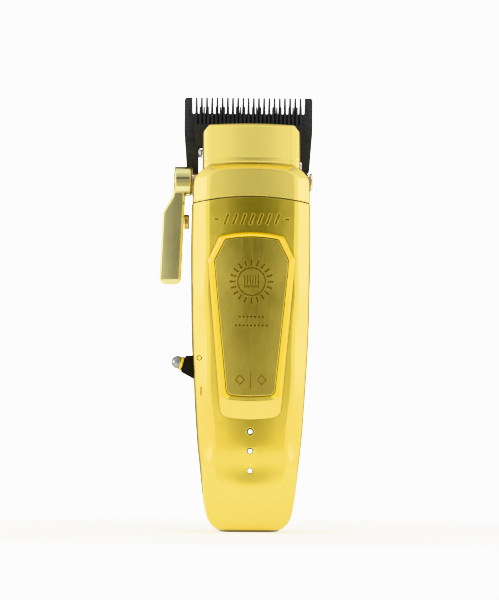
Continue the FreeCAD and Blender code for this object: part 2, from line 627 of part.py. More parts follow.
def make_lever():
    axis = lambda x: (x, LEVER_Y, LEVER_Z)
    arm = prism(rounded_wire(ARM, front_view(ARM_FRONT_Y)), (0, 7.0, 0))
    outer_rim = lambda e: e.BoundBox.YLength < 0.01 and e.CenterOfMass.x < -29.4 and e.CenterOfMass.z < 126.5
    arm = filleted(arm, 1.0, outer_rim)
    crown = rod(LEVER_CROWN, (-26.0, LEVER_CROWN + ARM_FRONT_Y, 80), (0, 0, 1), 60)
    foot = [(-1.5, 93.2, 0), (-1.5, 90, 0), (1.4, 90, 0), (1.0, 91.0, 0)]
    arm = arm.common(crown).cut(prism(rounded_wire(foot, side_view(-40)), (20, 0, 0)))
    hub = rod(HUB_RADIUS, axis(-28.3), (1, 0, 0), 28.3 - WASHER_OUT - GAP)
    hub = filleted(hub, 0.6, lambda e: e.BoundBox.XLength < 0.01)
    lever = fused(hub, arm)
    lever = lever.cut([
        rod(LEVER_SHAFT_RADIUS + 0.02, axis(-27.0), (1, 0, 0), 10),
        rod(1.3, axis(-30), (1, 0, 0), 10),
        rod(SCREW_HEAD + 0.2, axis(-30), (1, 0, 0), 2.4),
        rod(STUD_STEM + 0.02, (-27.4, LEVER_Y, STUD_Z), (1, 0, 0), 10),
    ])
    keep("taper_lever", lever)
    screw = fused(rod(SCREW_HEAD, axis(-28.5), (1, 0, 0), 0.85), rod(1.0, axis(-28), (1, 0, 0), 7))
    slot = box(-29, -28.1, LEVER_Y - 3, LEVER_Y + 3, LEVER_Z - 0.35, LEVER_Z + 0.35)
    keep("lever_screw", screw.cut(slot))
    shaft = rod(LEVER_SHAFT_RADIUS, axis(-26.9), (1, 0, 0), 48.9)
    keep("lever_shaft", shaft.cut(rod(1.01, axis(-27), (1, 0, 0), 6.5)))
    lift = math.radians(LEVER_HALF_SWING)
    centre_y, centre_z = LEVER_Y + ECCENTRIC * math.cos(lift), LEVER_Z + ECCENTRIC * math.sin(lift)
    disc = rod(DISC_RADIUS, (EAR_X - 0.1, centre_y, centre_z), (1, 0, 0), 2.2)
    disc = disc.cut(rod(LEVER_SHAFT_RADIUS + 0.01, axis(0), (1, 0, 0), 30))
    keep("eccentric_discs", group([disc, mirrored(disc)]))
    cap = rod(3.2, axis(22.05), (1, 0, 0), 0.9)
    keep("shaft_end_cap", filleted(cap, 0.4, lambda e: e.CenterOfMass.x > 22.9))
    stud = rod(2.8, (-24.5, LEVER_Y, STUD_Z), (1, 0, 0), 1.8)
    stud = filleted(stud, 0.5, lambda e: abs(e.BoundBox.XMin + 22.7) < 0.01)
    stem = rod(STUD_STEM, (-27.35, LEVER_Y, STUD_Z), (1, 0, 0), 2.5)
    dimple = Part.makeSphere(1.6, V(-21.6, LEVER_Y, STUD_Z))
    keep("detent_stud", fused(stud, stem).cut(dimple))


# ---------------------------------------------------------------- blade set
TOOTH_PITCH, TOOTH_COUNT = 1.93, 21
CUTTER_PITCH, CUTTER_COUNT = 1.5, 27
BLADE_TIP_Z = 160.8
RIVET_X, RIVET_Z = 9.5, 145.4


def tooth_gaps(centre, pitch, count, root_z, tip_z, root_half, tip_half, y):
    """Tapered gaps on both sides of every tooth, in one row."""
    gaps = []
    for i in range(count + 1):
        x = centre + pitch * (i - count / 2.0)
        corners = [(x - root_half, root_z, 0.9 * root_half), (x + root_half, root_z, 0.9 * root_half),
                   (x + tip_half, tip_z, 0), (x - tip_half, tip_z, 0)]
        gaps.append(prism(rounded_wire(corners, front_view(y)), (0, 6, 0)))
    return gaps


def make_fixed_blade():
    half = BLADE_HALF_WIDTH
    outline = [(-22.6, 131.9, 2.4), (22.6, 131.9, 2.4), (half, 148, 4), (half, BLADE_TIP_Z, 1.2),
               (-half, BLADE_TIP_Z, 1.2), (-half, 148, 4)]
    outline = [(u + BLADE_X, v, r) for u, v, r in outline]
    plate = prism(rounded_wire(outline, front_view(BLADE_PLANE_Y)), (0, BLADE_BACK_Y - BLADE_PLANE_Y, 0))
    cuts = tooth_gaps(BLADE_X, TOOTH_PITCH, TOOTH_COUNT, 154.8, BLADE_TIP_Z + 0.1, 0.46, 0.62, 10)
    for side, top in ((-1, 141.9), (1, 137.1)):
        x0, x1 = sorted((side * 17.0, side * 19.2))
        corners = [(x0, 120, 0), (x1, 120, 0), (x1, top, 1.0), (x0, top, 1.0)]
        cuts.append(prism(rounded_wire(corners, front_view(5)), (0, 20, 0)))
        x0, x1 = sorted((BLADE_X + side * 20.2, BLADE_X + side * 23.0))
        for z in (144.4, 145.4):
            cuts.append(box(x0, x1, 11, BLADE_PLANE_Y + 0.25, z - 0.2, z + 0.2))
    for x, z in BLADE_SCREWS:
        cuts.append(box(x - 1.4, x + 1.4, 5, 20, z - 1.5, z + 1.5))
    slope = [(BLADE_BACK_Y, 149.5, 0), (16, 149.5, 0), (16, 162, 0), (12.1, 162, 0)]
    cuts.append(prism(rounded_wire(slope, side_view(-40)), (80, 0, 0)))
    plate = plate.cut(cuts)
    for side in (-1, 1):
        x0, x1 = sorted((BLADE_X + side * 22.0, BLADE_X + side * 23.6))
        pad = [(x0, 153.4, 0.2), (x1, 153.4, 0.2), (x1, BLADE_TIP_Z, 0.75), (x0, BLADE_TIP_Z, 0.75)]
        plate = plate.fuse(prism(rounded_wire(pad, front_view(BLADE_PLANE_Y - 0.35)), (0, 0.5, 0)))
    keep("fixed_blade", plate)


def make_cutter():
    outline = [(-19.4, 142.5, 0.8), (19.4, 142.5, 0.8), (20.3, 150.0, 1.0), (20.3, 157.4, 0),
               (-20.3, 157.4, 0), (-20.3, 150.0, 1.0)]
    outline = [(u + BLADE_X, v, r) for u, v, r in outline]
    front, back = 9.2, BLADE_PLANE_Y - RUNNING
    plate = prism(rounded_wire(outline, front_view(front)), (0, back - front, 0))
    cuts = tooth_gaps(BLADE_X, CUTTER_PITCH, CUTTER_COUNT, 150.7, 158.0, 0.3, 0.5, 7)
    slope = [(front, 150.4, 0), (10.4, 158.0, 0), (7, 158.0, 0), (7, 150.4, 0)]
    cuts.append(prism(rounded_wire(slope, side_view(-40)), (80, 0, 0)))
    rivet_holes = [rod(1.0, (BLADE_X + x, 5, RIVET_Z), (0, 1, 0), 10) for x in (-RIVET_X, RIVET_X)]
    keep("moving_cutter", plate.cut(cuts + rivet_holes))
    guide = [(-13, 142.7, 1.2), (13, 142.7, 1.2), (12.2, 148.3, 1.2), (-12.2, 148.3, 1.2)]
    guide = prism(rounded_wire([(u + BLADE_X, v, r) for u, v, r in guide], front_view(7.3)), (0, 1.85, 0))
    guide = guide.cut(rivet_holes)
    guide = guide.cut(box(-3.1, 3.1, 5, 12, 143.4, 146.6))
    keep("cutter_guide", guide)
    rivet_x = BLADE_X + RIVET_X
    rivet = fused(
        rod(0.98, (rivet_x, 7.2, RIVET_Z), (0, 1, 0), 3.7),
        rod(1.6, (rivet_x, 6.9, RIVET_Z), (0, 1, 0), 0.38),
    )
    keep("guide_rivets", group([rivet, rivet.translated(V(-2 * RIVET_X, 0, 0))]))


def make_drive_yoke():
    """Arm from the crank up and over to the cutter: a fork round the roller at its foot."""
    outline = [(-7.0, 123.4), (-4.6, 123.4), (-4.6, 139.6), (6.6, 139.6), (7.2, 140.2), (7.2, 143.5),
               (9.1, 143.5), (9.1, 146.5), (5.2, 146.5), (5.2, 142.2), (-5.4, 142.2), (-7.0, 140.6)]
    web = prism(rounded_wire([(u, v, 0) for u, v in outline], side_view(-3.0)), (6.0, 0, 0))
    fork = rounded_box(-4.4, 4.4, -7.0, 1.6, 123.4, 125.9, 0.8)
    fork = fork.cut(rounded_box(-2.25, 2.25, -4.4, 4, 120, 130, 0.9))
    keep("drive_yoke", fused(web, fork))


def make_bracket():
    wing, slim = BRACKET_WING, 16.2
    outline = [(-wing, 121.5, 0.8), (wing, 121.5, 0.8), (wing, 129.8, 0.5), (slim, 130.8, 0.5),
               (slim, 141.5, 1.0), (-slim, 141.5, 1.0), (-slim, 130.8, 0.5), (-wing, 129.8, 0.5)]
    plate = prism(rounded_wire(outline, front_view(BRACKET_FRONT)), (0, BRACKET_BACK - BRACKET_FRONT, 0))
    window = [(-7.5, 124, 1.5), (7.5, 124, 1.5), (7.5, 139, 1.5), (-7.5, 139, 1.5)]
    plate = plate.cut(prism(rounded_wire(window, front_view(5)), (0, 10, 0)))
    middle = LEVER_Z + ECCENTRIC * math.sin(math.radians(LEVER_HALF_SWING))
    low, high = middle - 5.9, middle + 5.9
    root = BRACKET_FRONT + 0.5
    ear = [(-2.4, low, 1.6), (root, low, 0), (root, high, 0), (-2.4, high, 1.6)]
    low, high = middle - DISC_RADIUS - RUNNING, middle + DISC_RADIUS + RUNNING
    slot = [(-0.95, low, 1.0), (8.8, low, 1.0), (8.8, high, 1.0), (-0.95, high, 1.0)]
    for x in (EAR_X, -EAR_X - 2.0):
        side = prism(rounded_wire(ear, side_view(x)), (2.0, 0, 0))
        side = side.cut(prism(rounded_wire(slot, side_view(x - 1)), (4, 0, 0)))
        plate = plate.fuse(side)
    for x, z in BLADE_SCREWS:
        plate = plate.cut(rod(1.22, (x, 5, z), (0, 1, 0), 10))
    keep("blade_bracket", plate)
    screws = [socket_screw(x, BLADE_BACK_Y + 1.5, z, 2.5, 1.48, 1.2, 4.6) for x, z in BLADE_SCREWS]
    keep("blade_screws", group(screws))


def make_tension_spring():
    """Round wire with a coil at each end. The coils stand in the slots of the fixed blade."""
    parts = []
    for side, z in ((-1, 139.9), (1, 134.9)):
        start = (side * 18.05, 10.0, z)
        turn = coil(0.3, 1.4, 0.66, 1.4, start, (side, 0, 0))
        parts.append(turn)
        arm = rod(0.3, (side * 18.05, 8.5, z), (-side * 3.4, 0.0, 141.0 - z), math.hypot(3.4, 141.0 - z))
        parts.append(arm)
    keep("tension_spring", group(parts))


# ---------------------------------------------------------------- motor and crank
MAGNET_OUTER, MAGNET_INNER = 9.75, 7.6
CAN_INNER = 9.8
BEARING_RADIUS = 3.0
BEARING_SEAT = BEARING_RADIUS + 0.02
ROTOR_BORE = MOTOR_SHAFT_RADIUS + 0.01
CRANK_Y = MOTOR_Y - CUTTER_STROKE          # the crank pin stands this far out, towards the front


def on_motor_axis(z):
    return (0, MOTOR_Y, z)


def make_motor_housing():
    can_low = MOTOR_LOW + 2.0
    can = tube(MOTOR_RADIUS, CAN_INNER, on_motor_axis(can_low), (0, 0, 1), MOTOR_HIGH - can_low)
    can = can.fuse(rod(MOTOR_RADIUS, on_motor_axis(MOTOR_HIGH - 1.2), (0, 0, 1), 1.2))
    cuts = [rod(BEARING_SEAT, on_motor_axis(MOTOR_HIGH - 4), (0, 0, 1), 10)]
    for x in (-MOTOR_SCREW_X, MOTOR_SCREW_X):
        cuts.append(rod(0.82, (x, MOTOR_Y, MOTOR_HIGH - 4), (0, 0, 1), 10))
    for x in (-13, 8.0):
        cuts.append(box(x, x + 5, MOTOR_Y - 2.2, MOTOR_Y + 2.2, MOTOR_LOW + 5, MOTOR_LOW + 9))
    keep("motor_can", can.cut(cuts))
    bell = rod(MOTOR_RADIUS, on_motor_axis(MOTOR_LOW), (0, 0, 1), 1.98)
    bell = bell.fuse(rod(CAN_INNER - 0.05, on_motor_axis(MOTOR_LOW + 1.9), (0, 0, 1), 1.6))
    bell = bell.fuse(rod(3.9, on_motor_axis(MOTOR_LOW - 1.2), (0, 0, 1), 1.3))
    keep("motor_end_bell", bell.cut(rod(BEARING_SEAT, on_motor_axis(MOTOR_LOW - 0.4), (0, 0, 1), 10)))
    bore = MOTOR_SHAFT_RADIUS + 0.02
    front = tube(BEARING_RADIUS, bore, on_motor_axis(MOTOR_HIGH - 2.4), (0, 0, 1), 2.8)
    rear = tube(BEARING_RADIUS, bore, on_motor_axis(MOTOR_LOW), (0, 0, 1), 2.6)
    keep("motor_bearings", group([front, rear]))
    ring = tube(MAGNET_OUTER, MAGNET_INNER, on_motor_axis(MOTOR_LOW + 6), (0, 0, 1), 16)
    sides = [box(-7, 7, MOTOR_Y + 2.2, 20, 0, 200), box(-7, 7, -20, MOTOR_Y - 2.2, 0, 200)]
    keep("motor_magnets", group([ring.common(side) for side in sides]))
    screw = fused(
        rod(1.5, (MOTOR_SCREW_X, MOTOR_Y, DECK_TOP + 0.02), (0, 0, 1), 0.9),
        rod(0.8, (MOTOR_SCREW_X, MOTOR_Y, MOTOR_HIGH - 1.2), (0, 0, 1), 3.0),
    )
    keep("motor_screws", group([screw, mirrored(screw)]))


def make_rotor():
    core = rod(7.1, on_motor_axis(MOTOR_LOW + 7.5), (0, 0, 1), 13)
    slot = box(-0.5, 0.5, MOTOR_Y + 5.8, MOTOR_Y + 9, 0, 200)
    well = box(-1.5, 1.5, MOTOR_Y + 3.4, MOTOR_Y + 5.9, 0, 200)
    for i in range(5):
        core = core.cut([turned(cut, (0, MOTOR_Y, 0), (0, 0, 1), 72.0 * i) for cut in (slot, well)])
    keep("rotor_core", core.cut(rod(ROTOR_BORE, on_motor_axis(80), (0, 0, 1), 60)))
    bars = tube(2.4, ROTOR_BORE, on_motor_axis(MOTOR_LOW + 3.8), (0, 0, 1), 3.2)
    split = box(-0.12, 0.12, MOTOR_Y + 2.0, MOTOR_Y + 3, 0, 200)
    bars = bars.cut([turned(split, (0, MOTOR_Y, 0), (0, 0, 1), 120.0 * i) for i in range(3)])
    keep("commutator", bars)
    shaft_length = CAM_LOW + 3.6 - MOTOR_LOW
    keep("motor_shaft", rod(MOTOR_SHAFT_RADIUS, on_motor_axis(MOTOR_LOW - 0.2), (0, 0, 1), shaft_length))
    cam = rod(4.0, on_motor_axis(CAM_LOW), (0, 0, 1), 3.7)
    cam = cam.cut(rod(ROTOR_BORE, on_motor_axis(CAM_LOW - 1), (0, 0, 1), 4.5))
    cam = cam.cut(box(-6, 6, MOTOR_Y + 2.4, MOTOR_Y + 6, CAM_LOW + 1.6, CAM_LOW + 5))
    pin = rod(1.0, (0, CRANK_Y, CAM_LOW + 3.6), (0, 0, 1), PIN_TOP - CAM_LOW - 3.6)
    keep("crank_cam", cam.fuse(pin))
    roller = tube(2.0, 1.01, (0, CRANK_Y, CAM_LOW + 4.0), (0, 0, 1), PIN_TOP - CAM_LOW - 4.2)
    keep("crank_roller", roller)


# ---------------------------------------------------------------- chassis, battery and board
def make_chassis():
    chassis = box(-6.2, 6.2, 11.1, 12.5, 16.8, DECK_TOP)
    rings = [(z, BATTERY_RADIUS + GAP, BATTERY_X, BATTERY_Y) for z in (24.0, 50.0, 78.0)]
    rings.append((94.0, MOTOR_RADIUS + 0.05, 0, MOTOR_Y))
    for z, inner, x, y in rings:
        band = tube(inner + 1.3, inner, (x, y, z), (0, 0, 1), 3.0)
        rest = box(-5.5, 5.5, y + inner - 1.0, 12.0, z, z + 3.0).cut(rod(inner, (x, y, z - 1), (0, 0, 1), 6))
        chassis = chassis.fuse([band.common(box(-30, 30, y - 3.0, 30, 0, 200)), rest])
    deck = box(-11, 11, -9.5, 12.0, MOTOR_HIGH + 0.05, DECK_TOP)
    chassis = chassis.fuse([deck, box(-6.2, 6.2, -4, 12.0, 17.0, 18.4)])
    cuts = [rod(4.6, (0, MOTOR_Y, 100), (0, 0, 1), 30), rod(2.2, (-3, 3, 10), (0, 0, 1), 20)]
    for x in (-MOTOR_SCREW_X, MOTOR_SCREW_X):
        cuts.append(rod(0.9, (x, MOTOR_Y, 100), (0, 0, 1), 30))
    keep("inner_chassis", chassis.cut([*cuts, switch_room()]))


def make_battery():
    length = BATTERY_HIGH - BATTERY_LOW - 0.6
    cell = rod(BATTERY_RADIUS, (BATTERY_X, BATTERY_Y, BATTERY_LOW), (0, 0, 1), length)
    cell = filleted(cell, 0.7, lambda e: e.BoundBox.ZLength < 0.01)
    groove = tube(10, 8.95, (BATTERY_X, BATTERY_Y, BATTERY_HIGH - 4.4), (0, 0, 1), 1.0)
    cell = cell.cut(groove).fuse(rod(3.0, (BATTERY_X, BATTERY_Y, BATTERY_HIGH - 0.7), (0, 0, 1), 0.7))
    keep("battery_cell", cell)
    tabs = []
    for z in (BATTERY_HIGH + 0.01, BATTERY_LOW - 0.26):
        tabs.append(box(BATTERY_X - 7, BATTERY_X + 3, BATTERY_Y - 2, BATTERY_Y + 2, z, z + 0.25))
    keep("battery_tabs", group(tabs))


BOARD_HOLES = [(-8.8, 26.0), (8.8, 26.0), (-8.8, 56.0), (8.8, 56.0)]


def on_board(x0, x1, z0, z1, height):
    """Box that stands on the back of the control board."""
    back = BOARD_FRONT_Y + BOARD_THICK
    return box(x0, x1, back + 0.01, back + height, z0, z1)


def board_socket(half, low, mouth_low):
    """Plug socket with its mouth at the end where mouth_low is: an open box on the board."""
    back = BOARD_FRONT_Y + BOARD_THICK
    inner = half - 0.75
    hollow = box(-inner, inner, back + 0.8, back + 2.0, mouth_low, mouth_low + 4)
    return on_board(-half, half, low, low + 3.6, 2.6).cut(hollow)


def make_board():
    front, back = BOARD_FRONT_Y, BOARD_FRONT_Y + BOARD_THICK
    corners = [(-11, 19.8, 1.5), (11, 19.8, 1.5), (11, 60, 1.5), (-11, 60, 1.5)]
    board = prism(rounded_wire(corners, front_view(front)), (0, BOARD_THICK, 0))
    board = board.cut([rod(1.1, (x, -20, z), (0, 1, 0), 20) for x, z in BOARD_HOLES])
    keep("control_board", board)
    chips = [on_board(-4, 2, 30, 36, 1.2), on_board(3.5, 7.5, 38, 44, 1.6), on_board(-6.5, -3.5, 42, 45, 1.0)]
    chips += [on_board(-5 + 2.2 * i, -4 + 2.2 * i, 48.2, 50.0, 0.7) for i in range(5)]
    keep("board_chips", group(chips))
    keep("board_sockets", group([board_socket(4.0, 21.0, 20.0), board_socket(2.6, 53.0, 54.0)]))
    leds = [box(-0.8, 0.8, front - 0.7, front - 0.01, z - 0.4, z + 0.4) for z in LED_ZS]
    keep("led_chips", group(leds))
    screws = []
    for x, z in BOARD_HOLES:
        head = rod(1.9, (x, back + 0.01, z), (0, 1, 0), 0.9)
        screws.append(fused(head, rod(0.78, (x, front - 1.5, z), (0, 1, 0), 2.9)))
    keep("board_screws", group(screws))


def lead(points, radius):
    """Round wire through the points."""
    curve = Part.BSplineCurve()
    curve.interpolate([V(*p) for p in points])
    start = curve.tangent(curve.FirstParameter)[0]
    profile = Part.Wire(Part.makeCircle(radius, V(*points[0]), start))
    return Part.Wire(curve.toShape()).makePipeShell([profile], True, True)


def make_leads():
    motor = []
    for x in (-3, 3):
        motor.append(lead([(x, -8.6, MOTOR_LOW - 0.1), (x, -9.6, 84.8), (x, -10.6, 80),
                           (0.5 * x, -10.4, 66), (0.37 * x, -9.6, 57.2)], 0.45))
    keep("motor_leads", group(motor))
    jack = []
    for x, end_x in ((3.9, 1.5), (2.0, -1.0)):
        jack.append(lead([(x, -2.0, 14.8), (x - 0.3, -2.8, 15.4), (0.4 * x + 0.6 * end_x, -7.0, 16.2),
                          (end_x, -9.6, 20.0)], 0.4))
    keep("jack_leads", group(jack))


# ---------------------------------------------------------------- side toggle switch
PADDLE = [(-1.9, -1.2, 0.9), (3, -4.4, 2), (8.6, -4.0, 0.8), (13.2, -3.0, 0.6), (13.2, 3.3, 0.6),
          (8.6, 4.75, 0.8), (3, 4.8, 2), (-1.9, 1.2, 0.9)]       # along the toggle, across it, corner radius
PADDLE_THICK = 5.0
TOGGLE_PIN = 1.2
BALL_FLAT = 14.4           # where the ball's flat meets the collar, along the toggle


def toggle_point(along, across):
    """Point of the toggle in its own frame, before it is tilted."""
    return V(TOGGLE_X - along, TOGGLE_Y, TOGGLE_Z + across)


def tilted(shape):
    return turned(shape, (TOGGLE_X, TOGGLE_Y, TOGGLE_Z), (0, 1, 0), TOGGLE_TILT)


def make_toggle():
    side = V(0, -PADDLE_THICK / 2, 0)
    paddle = prism(rounded_wire(PADDLE, lambda u, v: toggle_point(u, v) + side), (0, PADDLE_THICK, 0))
    paddle = paddle.cut(rod(TOGGLE_PIN + RUNNING, (TOGGLE_X, -20, TOGGLE_Z), (0, 1, 0), 40))
    paddle = paddle.cut(rod(0.9, tuple(toggle_point(9.0, 0)), (-1, 0, 0), 8))
    keep("toggle_paddle", tilted(paddle))
    profile = [(0, 9.2), (0.88, 9.2), (0.88, 13.25), (2.4, 13.25), (2.7, 13.5), (2.7, 14.0),
               (2.25, BALL_FLAT), (0, BALL_FLAT)]
    collar = Part.makePolygon([toggle_point(along, radius) for radius, along in [*profile, profile[0]]])
    collar = Part.Face(collar).revolve(toggle_point(0, 0), V(1, 0, 0), 360)
    keep("toggle_collar", tilted(collar))
    flat_angle = math.degrees(math.asin((BALL_AT - BALL_FLAT - 0.05) / BALL_RADIUS))
    ball = Part.makeSphere(BALL_RADIUS, toggle_point(BALL_AT, 0), V(-1, 0, 0), -flat_angle, 90, 360)
    keep("toggle_ball", tilted(ball))
    keep("toggle_pin", rod(TOGGLE_PIN, (TOGGLE_X, TOGGLE_Y - 4.2, TOGGLE_Z), (0, 1, 0), 8.4))
    y, z = TOGGLE_Y, TOGGLE_Z
    housing = box(-25, -8.4, y - 4.3, y + 4.3, z - 10.6, z + 10.6).common(body_form(-WALL - 0.15, 5.0))
    housing = housing.cut(box(-30, -9.6, y - 3.1, y + 3.1, z - 9.4, z + 9.4))
    housing = housing.cut(rod(TOGGLE_PIN + 0.01, (TOGGLE_X, -20, TOGGLE_Z), (0, 1, 0), 40))
    keep("switch_housing", housing)
    pins = [box(-8.39, -6.9, y - 1.0, y + 1.0, z + dz - 0.3, z + dz + 0.3) for dz in (-6, 0, 6)]
    keep("switch_terminals", group(pins))


STEPS = (make_base, make_panel, make_shells, make_shell_details, make_seam_seal, make_shoulder, make_hood,
         make_head_frame, make_lever, make_fixed_blade, make_cutter, make_drive_yoke, make_bracket,
         make_tension_spring, make_motor_housing, make_rotor, make_chassis, make_battery, make_board, make_leads,
         make_toggle)


def main():
    os.makedirs("parts", exist_ok=True)
    for step in STEPS:
        step()
    for name, shape in SHAPES.items():
        shape.exportStep("parts/" + name + ".step")
        print(name, "valid" if shape.isValid() else "NOT VALID", len(shape.Solids), round(shape.Volume, 2))


main()
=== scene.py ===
"""Looks of the cordless hair clipper: materials, studio light, floor and camera.

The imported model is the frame: its pieces stay where they are and get their materials here. Sharp edges are
rounded in the materials' normals, so no mesh changes.
Lengths are in metres, in the frame's own axes: +Z up to the blade tips, -Y out of the front.
"""
import bpy
import bmesh
import math
from mathutils import Matrix, Vector

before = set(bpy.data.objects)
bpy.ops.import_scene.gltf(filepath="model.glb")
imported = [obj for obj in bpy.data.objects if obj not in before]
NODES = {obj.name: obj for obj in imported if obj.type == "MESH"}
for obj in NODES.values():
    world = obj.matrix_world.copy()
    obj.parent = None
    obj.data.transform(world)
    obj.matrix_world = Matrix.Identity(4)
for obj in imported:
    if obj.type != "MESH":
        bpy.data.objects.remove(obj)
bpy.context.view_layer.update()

MM = 0.001


# ---------------------------------------------------------------- node helpers
class Graph:
    """A material's node tree with short ways to add the nodes that are used here."""

    def __init__(self, name):
        self.material = bpy.data.materials.new(name)
        self.material.use_nodes = True
        self.nodes = self.material.node_tree.nodes
        self.links = self.material.node_tree.links
        self.shader = self.nodes["Principled BSDF"]
        self.place = None

    def add(self, kind, **settings):
        node = self.nodes.new(kind)
        for key, value in settings.items():
            setattr(node, key, value)
        return node

    def join(self, source, target):
        self.links.new(source, target)

    def fix(self, **values):
        """Sets sockets of the main shader that are the same all over the surface."""
        for key, value in values.items():
            self.shader.inputs[key.replace("_", " ")].default_value = value

    def coords(self, stretch=(1, 1, 1)):
        """Object coordinates, stretched, so a larger number gives finer detail along that axis."""
        if self.place is None:
            self.place = self.add("ShaderNodeTexCoord")
        mapping = self.add("ShaderNodeMapping")
        mapping.inputs["Scale"].default_value = stretch
        self.join(self.place.outputs["Object"], mapping.inputs["Vector"])
        return mapping.outputs["Vector"]

    def noise(self, scale, detail=3.0, rough=0.55, stretch=(1, 1, 1)):
        node = self.add("ShaderNodeTexNoise")
        node.inputs["Scale"].default_value = scale
        node.inputs["Detail"].default_value = detail
        node.inputs["Roughness"].default_value = rough
        self.join(self.coords(stretch), node.inputs["Vector"])
        return node.outputs["Fac"]

    def spread(self, value, low, high, start=0.3, end=0.7):
        """Maps a factor between start and end to low and high."""
        node = self.add("ShaderNodeMapRange")
        node.inputs["From Min"].default_value = start
        node.inputs["From Max"].default_value = end
        node.inputs["To Min"].default_value = low
        node.inputs["To Max"].default_value = high
        self.join(value, node.inputs["Value"])
        return node.outputs["Result"]

    def blend(self, factor, first, second):
        """Colour between first and second. Either can be a colour or a socket."""
        node = self.add("ShaderNodeMix", data_type="RGBA")
        self.join(factor, node.inputs[0])
        for socket, colour in ((node.inputs[6], first), (node.inputs[7], second)):
            if isinstance(colour, tuple):
                socket.default_value = (*colour, 1.0)
            else:
                self.join(colour, socket)
        return node.outputs[2]

    def math(self, operation, first, second):
        node = self.add("ShaderNodeMath", operation=operation)
        for socket, value in zip(node.inputs, (first, second)):
            if isinstance(value, (int, float)):
                socket.default_value = value
            else:
                self.join(value, socket)
        return node.outputs[0]

    def height(self):
        """Height above the clipper's base."""
        self.coords()
        split = self.add("ShaderNodeSeparateXYZ")
        self.join(self.place.outputs["Object"], split.inputs[0])
        return split.outputs[2]

    def from_centre(self):
        """Distance from the object's own origin."""
        self.coords()
        node = self.add("ShaderNodeVectorMath", operation="LENGTH")
        self.join(self.place.outputs["Object"], node.inputs[0])
        return node.outputs["Value"]

    def edges(self, reach, inside):
        """1 on flat stretches, lower near convex edges (inside) or in corners and grooves."""
        node = self.add("ShaderNodeAmbientOcclusion", samples=6, inside=inside, only_local=inside)
        node.inputs["Distance"].default_value = reach
        return node.outputs["AO"]

    def bump(self, height, strength, distance, edge=0.12 * MM):
        """Relief from a height value, laid over the surface with its sharp edges rounded by edge."""
        rounded = self.add("ShaderNodeBevel", samples=6)
        rounded.inputs["Radius"].default_value = edge
        node = self.add("ShaderNodeBump")
        node.inputs["Strength"].default_value = strength
        node.inputs["Distance"].default_value = distance
        self.join(height, node.inputs["Height"])
        self.join(rounded.outputs["Normal"], node.inputs["Normal"])
        self.join(node.outputs["Normal"], self.shader.inputs["Normal"])


# ---------------------------------------------------------------- materials
WORN_GOLD = (1.0, 0.88, 0.45)            # plating thinned by wear along outer edges
PAINTED_SHADE_GOLD = (0.14, 0.065, 0.008)       # painted shade: darker colour in tight corners and creases
# painted shade for the panel's rim: darker colour in its corners and along its foot
PAINTED_SHADE_BEZEL = (0.20, 0.09, 0.008)
RAMP_FADE = (49.6 * MM, 50.6 * MM)       # heights between which the panel's satin ramp turns into its rim
CHIPPED_EDGE = (0.20, 0.20, 0.21)        # steel where the black coat is worn off


def gold(name, colour, roughness, grain=0.02, brushed=(1, 1, 1), wear_share=0.35, shade=1.1 * MM,
         edge=0.25 * MM):
    """Plated gold metal: slight colour drift, fine grain, paler worn edges and painted shade in tight
    corners.
    """
    g = Graph(name)
    g.fix(Metallic=1.0)
    drift = g.spread(g.noise(30, 2.0), 0.0, 1.0)
    body = g.blend(drift, colour, tuple(0.955 * c for c in colour))
    worn = g.spread(g.edges(0.3 * MM, True), 1.0, 0.0, 0.35, 0.60)
    patchy = g.spread(g.noise(500, 3.0), 0.2, 1.0)
    worn = g.math("MULTIPLY", g.math("MULTIPLY", worn, patchy), wear_share)
    body = g.blend(worn, body, WORN_GOLD)
    # painted shade: the base colour darkens in corners and creases, out to the reach given by shade
    painted_shade = g.spread(g.edges(shade, False), 0.95, 0.0, 0.42, 0.96)
    body = g.blend(painted_shade, body, PAINTED_SHADE_GOLD)
    g.join(body, g.shader.inputs["Base Color"])
    grain_noise = g.noise(2400, 2.0, 0.6, brushed)
    smudge = g.noise(70, 3.0, 0.6)
    rough = g.math("ADD", g.spread(smudge, roughness - 0.012, roughness + 0.02),
                   g.spread(grain_noise, -0.012, 0.018))
    g.join(rough, g.shader.inputs["Roughness"])
    g.bump(grain_noise, grain, 0.02 * MM, edge)
    return g.material


def bezel(name):
    """Polished rim of the panel, with a satin ramp at its foot."""
    g = Graph(name)
    g.fix(Metallic=1.0)
    on_ramp = g.spread(g.height(), 1.0, 0.0, *RAMP_FADE)
    haze = g.noise(300, 3.0)
    rim = g.blend(g.spread(haze, 0, 1), (0.95, 0.70, 0.045), (0.92, 0.66, 0.035))
    body = g.blend(on_ramp, rim, (0.80, 0.63, 0.13))
    worn = g.spread(g.edges(0.3 * MM, True), 0.4, 0.0, 0.35, 0.60)
    body = g.blend(worn, body, WORN_GOLD)
    # painted shade: the base colour darkens in the corners around the rim and along its foot
    painted_shade = g.spread(g.edges(0.9 * MM, False), 0.95, 0.0, 0.35, 0.90)
    body = g.blend(painted_shade, body, PAINTED_SHADE_BEZEL)
    g.join(body, g.shader.inputs["Base Color"])
    rough = g.math("ADD", g.spread(haze, 0.10, 0.14), g.math("MULTIPLY", on_ramp, 0.10))
    g.join(rough, g.shader.inputs["Roughness"])
    g.bump(g.noise(2400, 2.0), 0.01, 0.02 * MM, 0.35 * MM)
    return g.material


